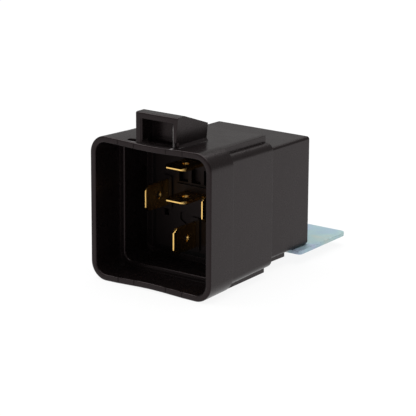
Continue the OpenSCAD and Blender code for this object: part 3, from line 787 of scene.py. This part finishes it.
@dataclass
class Housing:
    """The moulded housing: skirt, can and latch cage, in one piece."""

    skirt_w: float = 35.5
    skirt_h: float = MOUTH.skirt_h
    collar_l: float = 9.2
    skirt_l: float = 26.5
    collar_wall: float = 1.5
    collar_r: float = 4.4
    draft: float = 0.0275
    side_step: float = 0.65
    corner_step: float = 1.6
    rear_r: float = 2.0
    pad_w: float = 29.2
    seam: float = 0.006
    rear_inside: float = 29.6
    can_w: float = 28.2
    can_h: float = 27.7
    can_l: float = 46.0
    can_wall: float = 1.0
    can_r: float = 0.8
    can_draft: float = 0.008
    can_drop: float = 0.55
    base_at: float = 18.0
    rim_r: float = 0.35
    inner_rim_r: float = 0.2
    bow: float = 0.38
    rib_h: float = 1.15
    rib_l: float = 10.2
    cage_w: float = 12.2
    cage_h: float = 7.1
    cage_shift: float = 1.5
    cage_front: float = 0.8
    cage_l: float = 11.7
    roof_flat: float = 2.9
    roof_drop: float = 3.1
    cage_wall: float = 1.75
    cage_lean: float = 0.6
    roof_t: float = 1.45
    pocket_l: float = 4.2
    slot_w: float = 2.1
    slot_reach: float = 3.2
    slot_rise: float = 1.2
    lead_r: float = 0.6
    nick_x: tuple[float, ...] = (4.7, 9.5)
    core_pitch: float = 8.2
    core_w: float = 6.6
    core_l: float = 6.0
    stakes: Stakes = Stakes()
    stake_d: float = 3.0
    stake_head_d: float = 4.6
    roof_edge_r: float = 0.4
    cage_edge_r: float = 0.7
    pocket_r: float = 0.9
    flare: tuple[tuple[float, float], ...] = ((0.0, 1.0), (0.55, 0.5), (0.9, 0.2), (1.3, 0.06))
    edge_w: float = 0.12
    arc: int = 14
    cuts: int = 7

    @property
    def cage_sides(self) -> tuple[float, float]:
        """Where the latch cage's left and right sides are."""
        return self.cage_shift - self.cage_w / 2, self.cage_shift + self.cage_w / 2

    @property
    def can_faces(self) -> tuple[float, float]:
        """The heights of the can's underside and top."""
        return -self.can_h / 2 - self.can_drop, self.can_h / 2 - self.can_drop

    def outer(self, y: float, inset: float = 0.0) -> Section:
        """The collar's outside at a depth, inset by a width in millimetres."""
        narrow = 2 * (self.draft * y + inset)
        return Section(y, self.skirt_w - narrow, self.skirt_h - narrow, self.collar_r - inset)

    def rear(self, y: float) -> Section:
        """The rear skirt's outside between its pads, at a depth."""
        narrow = 2 * self.draft * y
        return Section(
            y, self.skirt_w - narrow - 2 * self.side_step, self.skirt_h - narrow - 2 * self.corner_step, self.rear_r
        )

    def can(self, y: float, inset: float = 0.0, radius: Optional[float] = None) -> Section:
        """The can's outside at a depth, inset by a width in millimetres."""
        narrow = 2 * (self.can_draft * (y - self.skirt_l) + inset)
        return Section(y, self.can_w - narrow, self.can_h - narrow, radius or self.can_r, -self.can_drop)

    def sections(self) -> list[Section]:
        """The sections in order: from the inside of the can, out over the rim, to the can's back."""
        mouth_w = self.skirt_w - 2 * self.collar_wall
        mouth_h = self.skirt_h - 2 * self.collar_wall
        mouth_r = self.collar_r - self.collar_wall
        inside_w = self.can_w - 2 * self.can_wall
        inside_h = self.can_h - 2 * self.can_wall
        soft = self.inner_rim_r
        inner = [
            Section(self.can_l - self.can_wall, inside_w, inside_h, 0.3, -self.can_drop),
            Section(self.base_at, inside_w, inside_h, 0.3, -self.can_drop),
            Section(self.base_at, self.rear_inside, self.rear_inside, 2.2),
            Section(self.collar_l + 0.25, self.rear_inside, self.rear_inside, 2.2),
            Section(self.collar_l, self.rear_inside + 0.5, self.rear_inside + 0.5, 2.4),
            Section(self.collar_l, mouth_w, mouth_h, mouth_r),
            Section(soft, mouth_w, mouth_h, mouth_r),
            Section(soft * 0.3, mouth_w + soft * 0.6, mouth_h + soft * 0.6, mouth_r + soft * 0.3),
            Section(0.0, mouth_w + 2 * soft, mouth_h + 2 * soft, mouth_r + soft),
        ]
        rim = [self.outer(self.rim_r * (1 - math.cos(t)), self.rim_r * (1 - math.sin(t))) for t in quarter(3)]
        rear = [self.rear(self.collar_l), self.rear(self.skirt_l)]
        edge = self.can_r
        back = [
            self.can(self.can_l - edge * (1 - math.sin(t)), edge * (1 - math.cos(t)), max(edge * math.cos(t), 0.25))
            for t in quarter(4)
        ]
        return inner + rim + [self.outer(self.collar_l)] + rear + [self.can(self.skirt_l)] + back

    def ring(self, bench: Bench, s: Section) -> None:
        """Adds one section to the bench as a closed ring of edges."""
        centre = (0.0, s.y, s.drop)
        bench.edit()
        bpy.ops.mesh.primitive_plane_add(size=MM, location=MOUTH.at(*centre), rotation=(math.pi / 2, 0, 0))
        bench.resize((s.width, 1.0, s.height), centre)
        bench.bevel(s.radius, self.arc, points=True)
        bench.select(Pick.FACES, lambda p, n: abs(p.y - s.y) < 1e-4)
        bpy.ops.mesh.delete(type="ONLY_FACE")
        bench.select(Pick.EDGES, lambda p, d: d.length > 5.0)
        bpy.ops.mesh.subdivide(number_cuts=self.cuts)
        bench.leave()

    def shell(self) -> Bench:
        """Lofts the housing's wall through its sections."""
        bench = Bench("housing_shell")
        gap = 6.0
        counts = [0]
        sections = self.sections()
        for number, s in enumerate(sections):
            self.ring(bench, replace(s, y=number * gap))
            counts.append(len(bench.piece.data.vertices))
        if len({b - a for a, b in zip(counts, counts[1:])}) != 1:
            raise RuntimeError(f"the housing's rings have different numbers of points: {counts}")
        for first, last in zip(counts, counts[2:]):
            bench.select_points(first, last)
            bpy.ops.mesh.bridge_edge_loops()
        for first, last in ((counts[0], counts[1]), (counts[-2], counts[-1])):
            bench.select_points(first, last)
            bpy.ops.mesh.edge_face_add()
        for number, s in enumerate(sections):
            bench.select_points(counts[number], counts[number + 1])
            bench.move(y=s.y - number * gap)
        bench.weld(0.003)
        bench.face_out()
        return bench

    def settle(self, bench: Bench) -> None:
        """Lets the long walls of the collar bow in a little, as a thin moulding's do."""
        bench.hold_still(lambda p, n: p.y > self.collar_l - 0.1)
        for side in (-1, 1):
            bench.select(
                Pick.POINTS, lambda p, n: abs(p.x) < 0.1 and p.y < 0.6 and p.z * side > self.skirt_h / 2 - 2.2
            )
            bench.move(z=-side * self.bow, soft=13.0)
        bench.reveal()

    def pads(self) -> Bench:
        """The full-height middle of the rear skirt: a tapering block over the tube and one under it."""
        front = self.collar_l - self.seam
        top = self.outer(front).height / 2 - self.seam
        shrink = (top - self.draft * (self.skirt_l - front)) / top
        bench = Bench("pads")
        for side in (-1, 1):
            low, high = sorted((side * (top - self.corner_step - 0.35), side * top))
            bench.block((-self.pad_w / 2, front, low), (self.pad_w / 2, self.skirt_l + self.seam, high))
        straight = self.outer(front).width / 2 - self.collar_r
        bends = [straight + (self.pad_w / 2 - straight) * share for share in (0.0, 0.5, 1.0)]
        for x in bends[:2]:
            for side in (-1, 1):
                bench.bisect((side * x, 0, 0), (1, 0, 0))
        for x in bends[1:]:
            fall = self.collar_r - math.sqrt(self.collar_r**2 - (x - straight) ** 2) + 0.03
            for side in (-1, 1):
                bench.select(
                    Pick.POINTS,
                    lambda p, n: abs(abs(p.x) - x) < 0.01 and p.y < front + 1 and abs(p.z - side * top) < 0.01,
                )
                bench.move(z=-side * fall)
        bench.select(Pick.POINTS, lambda p, n: p.y > self.skirt_l - 1.0)
        bench.resize((1 - 2 * self.draft * (self.skirt_l - front) / self.pad_w, 1, shrink), (0, self.skirt_l, 0))
        return bench

    def nicks(self) -> Bench:
        """The thin nicks across the rim where the mould's inserts meet."""
        bench = Bench("nicks")
        for x in (-self.nick_x[1], -self.nick_x[0], *self.nick_x):
            for side in (-1, 1):
                low, high = sorted((side * (self.skirt_h / 2 - 2.4), side * (self.skirt_h / 2 + 0.5)))
                bench.block((x - 0.1, -0.3, low), (x + 0.1, 0.1, high))
        return bench

    def cage(self) -> Bench:
        """The latch cage, with a sloping roof and a soft foot."""
        left, right = self.cage_sides
        top = self.skirt_h / 2 + self.cage_h
        back = self.cage_front + self.cage_l
        foot = self.skirt_h / 2 - 0.75
        bench = Bench("cage")
        bench.block((left, self.cage_front, foot), (right, back, top))
        bench.select(Pick.POINTS, lambda p, n: p.x > right - 0.1 and p.z < foot + 0.1)
        bench.move(x=-self.cage_lean)
        bench.bisect((0, self.cage_front + self.roof_flat, 0), (0, 1, 0))
        bench.select(Pick.POINTS, lambda p, n: p.y > back - 0.1 and p.z > top - 0.1)
        bench.move(z=-self.roof_drop)
        bench.select(Pick.EDGES, lambda p, d: p.z > top - 0.05 and p.y < self.cage_front + 0.05)
        bench.bevel(self.roof_edge_r, 3)
        bench.select(
            Pick.EDGES,
            lambda p, d: p.x > right - 0.45 and p.z > foot + 1 and (p.y < self.cage_front + 0.05) == (abs(d.x) < 0.01)
            and abs(p.y - self.cage_front - self.roof_flat) > 0.05 and p.y < back - 0.05,
        )
        bench.bevel(self.cage_edge_r, 5)
        for height, _width in self.flare[:0:-1]:
            bench.bisect((0, 0, foot + height), (0, 0, 1))
        for height, width in self.flare:
            for side, x in ((1.0, right), (-0.3, left)):
                bench.select(
                    Pick.POINTS, lambda p, n: abs(p.z - foot - height) < 0.02 and abs(p.x - x) < 0.6 and p.y > 1.5
                )
                bench.move(x=side * width)
            bench.select(Pick.POINTS, lambda p, n: abs(p.z - foot - height) < 0.02 and p.y > back - 0.6)
            bench.move(y=width * 0.15)
        return bench

    def cage_cutter(self) -> Bench:
        """What is taken out of the cage and the top wall: the latch pocket, the slot and the foot's notch."""
        left, right = (edge + inward * self.cage_wall for edge, inward in zip(self.cage_sides, (1, -1)))
        top = self.skirt_h / 2
        radius = self.lead_r
        bench = Bench("pocket")
        bench.block(
            (left, -0.5, top - 0.2), (right, self.cage_front + self.pocket_l, top + self.cage_h - self.roof_t)
        )
        bench.select(Pick.EDGES, lambda p, d: p.y > 1 and abs(d.normalized().x) > 0.9 and p.z < top + 1)
        bench.bevel(self.pocket_r, 6)
        steps = [(self.cage_front + radius * (1 - math.sin(t)), radius * (1 - math.cos(t))) for t in quarter(4)]
        for depth, _width in steps:
            bench.bisect((0, depth, 0), (0, 1, 0))
        for depth, width in steps[1:]:
            for side, x in ((-1, left), (1, right)):
                last = depth == steps[-1][0]
                bench.select(
                    Pick.POINTS, lambda p, n: (abs(p.y - depth) < 0.01 or (p.y < 0 and last)) and abs(p.x - x) < 0.1
                )
                bench.move(x=side * width)
        slot = Bench("slot")
        start = self.cage_sides[0] - self.slot_reach
        front = self.cage_front + 0.3
        slot.block((start, front, top - 2.6), (right, front + self.slot_w, top + 0.4))
        slot.select(Pick.EDGES, lambda p, d: p.x < start + 0.1 and abs(d.normalized().z) > 0.9)
        slot.bevel(self.slot_w / 2 - 0.02, 8)
        bench.combine(slot, Cut.ADD)
        notch = Bench("notch")
        notch.block(
            (right + radius - 0.02, -0.6, top - 0.1), (right + self.cage_wall + 1.2, front + 0.7, top + self.slot_rise)
        )
        bench.combine(notch, Cut.ADD)
        return bench

    def rear_cutter(self) -> Bench:
        """The cored slots at the back of the thick pads."""
        bench = Bench("coring")
        can_low, can_top = self.can_faces
        end = self.skirt_h / 2 - self.draft * self.skirt_l
        for step in (-1, 0, 1):
            left, right = (step * self.core_pitch + side * self.core_w / 2 for side in (-1, 1))
            for low, high in ((can_top + 1.1, end - 1.0), (-end + 1.0, can_low - 0.9)):
                bench.block((left, self.skirt_l - self.core_l, low), (right, self.skirt_l + 1.0, high))
        return bench

    def rib(self) -> Bench:
        """The rib under the can that the plate's front edge stops behind."""
        low, _top = self.can_faces
        half = self.can_w / 2 - 1.0
        bench = Bench("rib")
        bench.block((-half, self.skirt_l - 1.0, low - self.rib_h), (half, self.skirt_l + self.rib_l, low + 0.5))
        return bench

    def pegs(self) -> Bench:
        """The two pegs that hold the plate, staked flush with its underside."""
        low, _high = MOUTH.box("bracket")
        bench = Bench("pegs")
        for x, y in self.stakes.spots():
            base = (x, y, low.z + 0.05)
            bench.drum(base, 1.7, self.stake_d)
            bench.cone(base, 0.7, self.stake_head_d, self.stake_d)
        return bench

    def unsoftened(self, middle: Vector, along: Vector) -> bool:
        """Whether an edge is too small a step to round: the pads' seams and the rim's nicks."""
        inside = self.skirt_h / 2 - 1.2
        front = abs(middle.y - self.collar_l) < 0.02 and abs(middle.z) > inside and abs(middle.x) < self.pad_w / 2 + 0.1
        rear = abs(middle.y - self.skirt_l) < 0.02 and abs(middle.z) < inside and abs(middle.x) < self.pad_w / 2 + 0.1
        nick = middle.y < 0.12 and any(abs(abs(middle.x) - x) < 0.15 for x in self.nick_x)
        return front or rear or nick

    def build(self, look: Look) -> bpy.types.Object:
        """Makes the housing in its material."""
        bench = self.shell()
        self.settle(bench)
        for solid, cut in (
            (self.pads(), Cut.ADD),
            (self.cage(), Cut.ADD),
            (self.rib(), Cut.ADD),
            (self.cage_cutter(), Cut.REMOVE),
            (self.nicks(), Cut.REMOVE),
            (self.rear_cutter(), Cut.REMOVE),
            (self.pegs(), Cut.ADD),
        ):
            bench.combine(solid, cut)
        bench.weld(0.003)
        bench.soften(self.edge_w, 2, 42.0, self.unsoftened)
        bench.weld(0.002)
        bench.shade(32.0)
        return bench.seat(RELAY_BODY, "housing_plastic", ["housing"], look)


@dataclass
class Bracket:
    """The zinc plated plate under the can."""

    front_w: float = 32.0
    end_w: float = 30.2
    front: float = 39.3
    end: float = 61.2
    front_r: float = 1.0
    end_r: float = 1.5
    hole_d: float = 5.3
    can_end: float = 46.0
    stakes: Stakes = Stakes()
    stake_hole_d: float = 3.1
    sink_d: float = 4.84
    sink_l: float = 0.84
    edge_w: float = 0.1

    def build(self, look: Look) -> bpy.types.Object:
        """Makes the plate in its material."""
        low, high = MOUTH.box("bracket")
        bench = Bench("mounting_plate")
        bench.block((-self.front_w / 2, self.front, low.z), (self.front_w / 2, self.end, high.z))
        bench.select(Pick.POINTS, lambda p, n: p.y > self.end - 0.1)
        bench.resize((self.end_w / self.front_w, 1, 1), (0, self.end, low.z))
        for far, radius in ((False, self.front_r), (True, self.end_r)):
            bench.select(
                Pick.EDGES, lambda p, d: abs(d.normalized().z) > 0.9 and (p.y > (self.front + self.end) / 2) == far
            )
            bench.bevel(radius, 8)
        holes = Bench("holes")
        holes.drum((0.0, (self.can_end + self.end) / 2, low.z - 1), 3.0, self.hole_d)
        for x, y in self.stakes.spots():
            holes.drum((x, y, low.z - 1), 3.0, self.stake_hole_d)
            holes.cone((x, y, low.z - 0.02), self.sink_l, self.sink_d, self.stake_hole_d)
        bench.combine(holes, Cut.REMOVE)
        bench.soften(self.edge_w, 2, 50.0)
        bench.shade(35.0)
        return bench.seat(RELAY_BODY, "zinc_plate", ["bracket"], look)


@dataclass
class Blades:
    """The five blade terminals, with the thinned tips and soft edges that stamping leaves."""

    tip: float = 0.9
    tip_share: float = 0.5
    edge: float = 0.07
    thickness_axis: tuple[tuple[str, int], ...] = (
        ("terminal_common", 0), ("terminal_open", 2), ("terminal_closed", 2),
        ("terminal_coil_left", 0), ("terminal_coil_right", 0),
    )

    def blade(self, node: str, axis: int, look: Look) -> bpy.types.Object:
        """Makes one terminal from a merged copy of its solid.

        Args:
            node: The solid's name.
            axis: The axis of the blade's thickness: 0 for X, 2 for Z.
            look: Its material.

        Returns:
            The finished terminal.
        """
        bench = Bench.copy_of(node, node.replace("terminal", "blade"))
        low, _high = MOUTH.box(node)
        bench.bisect((0, low.y + self.tip, 0), (0, 1, 0))
        front = [MOUTH.local(v.co) for v in bench.piece.data.vertices if MOUTH.local(v.co).y < low.y + 0.01]
        middle = sum(front, Vector()) / len(front)
        bench.select(Pick.POINTS, lambda p, n: p.y < low.y + self.tip - 0.05)
        scale = [self.tip_share if number == axis else 1.0 for number in range(3)]
        bench.resize(scale, middle)
        bench.soften(self.edge, 2, 20.0)
        bench.shade(30.0)
        return bench.seat(RELAY_BODY, "terminal_brass", [node], look)

    def build(self, look: Look) -> None:
        """Makes all five terminals."""
        for node, axis in self.thickness_axis:
            self.blade(node, axis, look)


@dataclass
class Spring:
    """The contact spring. Its bow bends while the armature turns, but this piece does not bend."""

    still: tuple[float, float, float] = (0.0, 36.2, -10.1)
    turned: tuple[float, float, float] = (0.0, 40.255, -10.1)
    edge: float = 0.04

    def build(self, look: Look) -> bpy.types.Object:
        """Makes the spring in its material, from a merged copy of its solid."""
        bench = Bench.copy_of("contact_spring", "return_spring")
        bench.soften(self.edge, 1, 50.0)
        bench.shade(30.0)
        spring = bench.seat(None, "spring_bronze", ["contact_spring"], look)
        MOUTH.at(*self.still)
        MOUTH.at(*self.turned)
        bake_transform(spring)
        return spring


@dataclass
class Studio:
    """The pale floor, the soft light and the camera."""

    floor_tone: float = 0.86
    floor_glow: float = 0.9
    room_light: float = 0.34
    lens: float = 178.54
    target: tuple[float, float, float] = (-1.602, 25.0, -3.144)
    distance: float = 500.7
    azimuth: float = 36.544
    elevation: float = 15.367
    roll: float = 0.322

    def camera(self) -> None:
        """Sets the camera."""
        a, e, r = (math.radians(angle) for angle in (self.azimuth, self.elevation, self.roll))
        back = Vector((math.sin(a) * math.cos(e), -math.cos(a) * math.cos(e), math.sin(e)))
        right = (-back).cross(Vector((0, 0, 1))).normalized()
        level = Matrix((right, right.cross(-back), back)).transposed().to_4x4()
        data = bpy.data.cameras.new("camera")
        data.lens = self.lens
        data.sensor_width = 36.0
        data.clip_start = 0.01
        data.clip_end = 20.0
        camera = bpy.data.objects.new("camera", data)
        bpy.context.scene.collection.objects.link(camera)
        place = Matrix.Translation(MOUTH.at(*self.target) + back * self.distance * MM)
        camera.matrix_world = place @ level @ Matrix.Rotation(r, 4, "Z")
        bpy.context.scene.camera = camera

    def backdrop_material(self) -> Look:
        """A pale floor that looks white, with a soft shadow on it."""
        g = Graph.of_material("backdrop")
        seen = (g.ray("Is Camera Ray") + g.ray("Is Glossy Ray") + g.ray("Is Transmission Ray")).clamped()
        matte = g.raw("ShaderNodeBsdfDiffuse", {"Color": colour(*[self.floor_tone] * 3)})
        glow = g.raw("ShaderNodeEmission", {"Color": colour(1, 1, 1), "Strength": 1.0})
        return g.end(matte, glow, seen * self.floor_glow)

    def floor(self) -> None:
        """Lays the floor under the relay."""
        low, _high = CAD_BOX
        bpy.ops.mesh.primitive_plane_add(size=6.0, location=(0, 0, low[2] - 0.00002))
        plane = bpy.context.object
        plane.name = "floor"
        plane.data.materials.append(self.backdrop_material())

    def world(self) -> None:
        """A white room around the relay."""
        world = bpy.data.worlds.new("room")
        bpy.context.scene.world = world
        g = Graph(world)
        seen = g.ray("Is Camera Ray").larger(g.ray("Is Transmission Ray"))
        room = g.raw("ShaderNodeBackground", {"Color": colour(1.0, 0.99, 0.98), "Strength": self.room_light})
        white = g.raw("ShaderNodeBackground", {"Color": colour(1, 1, 1), "Strength": 1.0})
        g.end(room, white, seen, "ShaderNodeOutputWorld")

    def lamp(self, name: str, spot: Sequence[float], size: float, power: float) -> None:
        """Adds one softbox aimed at the relay.

        Args:
            name: The lamp's name.
            spot: Its place in metres.
            size: Its side in metres.
            power: Its power in watts.
        """
        data = bpy.data.lights.new(name, "AREA")
        data.shape = "SQUARE"
        data.size = size
        data.energy = power
        lamp = bpy.data.objects.new(name, data)
        bpy.context.scene.collection.objects.link(lamp)
        lamp.location = spot
        lamp.rotation_euler = (-Vector(spot)).to_track_quat("-Z", "Y").to_euler()

    def build(self) -> None:
        """Sets up the whole studio."""
        scene = bpy.context.scene
        scene.view_settings.view_transform = "Standard"
        self.camera()
        self.floor()
        self.world()
        self.lamp("key_softbox", (-0.75, -0.4, 0.95), 0.5, 1.5)
        self.lamp("overhead_softbox", (-0.1, 0.1, 1.3), 2.0, 34.0)


def dress_solids(looks: dict[str, Look]) -> None:
    """Gives the solids their materials, by the slots in the record."""
    for row in frame["record"]["subparts"]:
        slot = row["material_slot"]
        if slot in looks:
            materials = frame["nodes"][row["node"]].data.materials
            materials.clear()
            materials.append(looks[slot])
            LOG.info("%s is %s", row["node"], slot)


def main() -> None:
    """Builds the relay and its studio."""
    logging.basicConfig(level=logging.INFO)
    looks = Finishes().make()
    dress_solids(looks)
    Housing().build(looks["housing_plastic"])
    Bracket().build(looks["zinc_plate"])
    Blades().build(looks["terminal_brass"])
    Spring().build(looks["spring_bronze"])
    Studio().build()


if __name__ == "__main__":
    main()
